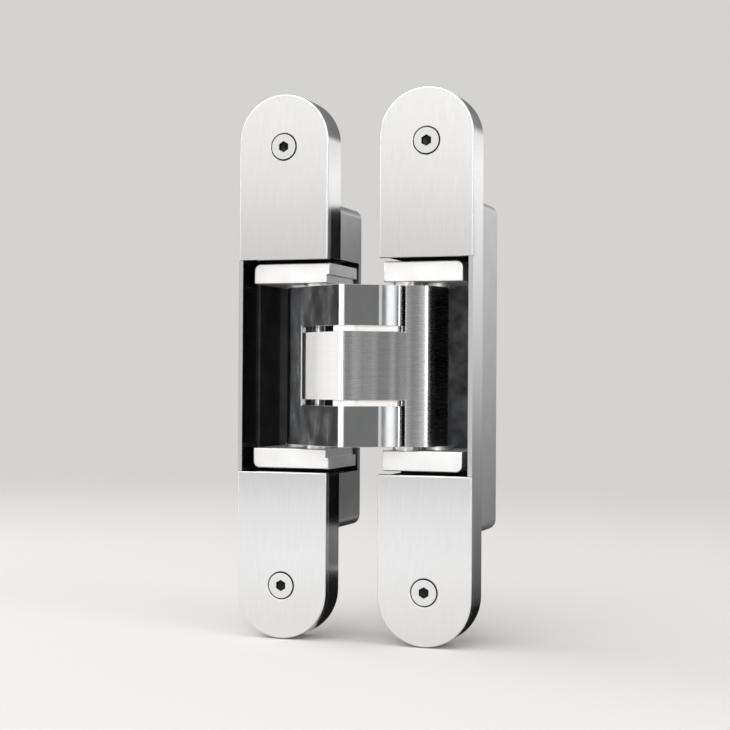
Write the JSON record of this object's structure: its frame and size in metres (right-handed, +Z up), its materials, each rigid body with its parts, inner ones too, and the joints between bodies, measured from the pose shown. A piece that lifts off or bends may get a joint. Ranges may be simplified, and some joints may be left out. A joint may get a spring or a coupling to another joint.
{
  "type": "concealed door hinge",
  "caption": "Concealed invisible door hinge, open at 180 degrees: two mortise halves with round-ended brushed covers joined by a crossed pair of steel arms.",
  "frame": {"origin": "midway between the two halves, on their common face plane, at mid height, with the hinge open at 180 degrees", "axes": "+Z up along the hinge; +X from the frame half to the door half; +Y into the door and frame, away from the visible faces"},
  "size_m": [0.0718, 0.0398, 0.16],
  "materials": {
    "brushed_cover": "brushed stainless steel, grain along the plate",
    "screw_steel": "bright turned steel",
    "cast_housing": "die-cast zinc with a smooth satin silver finish",
    "bright_carrier": "die-cast zinc with a bright satin silver finish",
    "polished_arm": "solid steel arm, brushed and polished",
    "white_glide": "white low-friction plastic",
    "bearing_bush": "pale plain bearing plastic",
    "guide_roller": "hardened steel",
    "bearing_washer": "pale plain bearing plastic",
    "pin_steel": "ground steel"
  },
  "bodies": {
    "frame_half": {"frame_clamp_screw_bottom": "screw_steel", "frame_clamp_screw_top": "screw_steel", "frame_clamp_washer_bottom": "screw_steel", "frame_clamp_washer_top": "screw_steel", "frame_cover_plate_bottom": "brushed_cover", "frame_cover_plate_top": "brushed_cover", "frame_cover_screw_bottom": "screw_steel", "frame_cover_screw_top": "screw_steel", "frame_housing": "cast_housing"},
    "height_eccentric": {"height_eccentric": "screw_steel"},
    "frame_carriage": {"frame_carrier_bottom": "bright_carrier", "frame_carrier_top": "bright_carrier", "frame_pivot_pin": "pin_steel", "frame_pivot_washer_bottom": "bearing_washer", "frame_pivot_washer_top": "bearing_washer"},
    "centre_arm": {"centre_arm": "polished_arm", "centre_arm_middle_bush": "bearing_bush", "centre_arm_pivot_bush": "bearing_bush", "door_slide_pin": "pin_steel", "door_slide_washer_bottom": "bearing_washer", "door_slide_washer_top": "bearing_washer"},
    "fork_arm": {"centre_glide_bottom": "white_glide", "centre_glide_top": "white_glide", "centre_pin": "pin_steel", "fork_arm": "polished_arm", "fork_pivot_bush_bottom": "bearing_bush", "fork_pivot_bush_top": "bearing_bush", "frame_slide_pin": "pin_steel", "frame_slide_washer_bottom": "bearing_washer", "frame_slide_washer_top": "bearing_washer"},
    "door_carriage": {"door_carrier_bottom": "bright_carrier", "door_carrier_top": "bright_carrier", "door_pivot_pin": "pin_steel", "door_pivot_washer_bottom": "bearing_washer", "door_pivot_washer_top": "bearing_washer"},
    "door_half": {"door_clamp_screw_bottom": "screw_steel", "door_clamp_screw_top": "screw_steel", "door_clamp_washer_bottom": "screw_steel", "door_clamp_washer_top": "screw_steel", "door_cover_plate_bottom": "brushed_cover", "door_cover_plate_top": "brushed_cover", "door_cover_screw_bottom": "screw_steel", "door_cover_screw_top": "screw_steel", "door_housing": "cast_housing"},
    "side_eccentric": {"side_eccentric": "screw_steel"},
    "frame_guide_rollers": {"frame_guide_roller_bottom": "guide_roller", "frame_guide_roller_top": "guide_roller"},
    "door_guide_rollers": {"door_guide_roller_bottom": "guide_roller", "door_guide_roller_top": "guide_roller"}
  },
  "joints": [
    {"name": "height_adjust", "type": "slide", "parent": "frame_half", "child": "frame_carriage", "axis": [0, 0, 1], "range_m": [-0.001, 0.001]},
    {"name": "height_eccentric_turn", "type": "hinge", "parent": "frame_half", "child": "height_eccentric", "pos_m": [-0.0152, 0.02, 0.0382], "axis": [0, 1, 0], "range_deg": [-36, 36]},
    {"name": "frame_pivot", "type": "hinge", "parent": "frame_carriage", "child": "centre_arm", "pos_m": [-0.0137, 0.0086, 0], "axis": [0, 0, -1], "range_deg": [0, 100.83]},
    {"name": "centre_pivot", "type": "hinge", "parent": "centre_arm", "child": "fork_arm", "pos_m": [0, -0.005, 0], "axis": [0, 0, 1], "range_deg": [0, 21.68]},
    {"name": "door_pivot", "type": "hinge", "parent": "fork_arm", "child": "door_carriage", "pos_m": [0.0137, 0.0086, 0], "axis": [0, 0, -1], "range_deg": [0, 100.85]},
    {"name": "side_adjust", "type": "slide", "parent": "door_carriage", "child": "door_half", "axis": [1, 0, 0], "range_m": [-0.001, 0.001]},
    {"name": "side_eccentric_turn", "type": "hinge", "parent": "door_half", "child": "side_eccentric", "pos_m": [0.0172, 0.02, 0.0362], "axis": [0, 1, 0], "range_deg": [-36, 36]},
    {"name": "frame_roller_spin", "type": "hinge", "parent": "fork_arm", "child": "frame_guide_rollers", "pos_m": [-0.0213, 0.0147, 0], "axis": [0, 0, 1], "continuous": true},
    {"name": "door_roller_spin", "type": "hinge", "parent": "centre_arm", "child": "door_guide_rollers", "pos_m": [0.0213, 0.0147, 0], "axis": [0, 0, 1], "continuous": true}
  ],
  "couplings": [
    {"joint": "centre_pivot", "follows": "frame_pivot", "ratio": 0.21486},
    {"joint": "door_pivot", "follows": "frame_pivot", "ratio": 1},
    {"joint": "height_eccentric_turn", "follows": "height_adjust", "rad_per_m": 500},
    {"joint": "side_eccentric_turn", "follows": "side_adjust", "rad_per_m": -500}
  ]
}
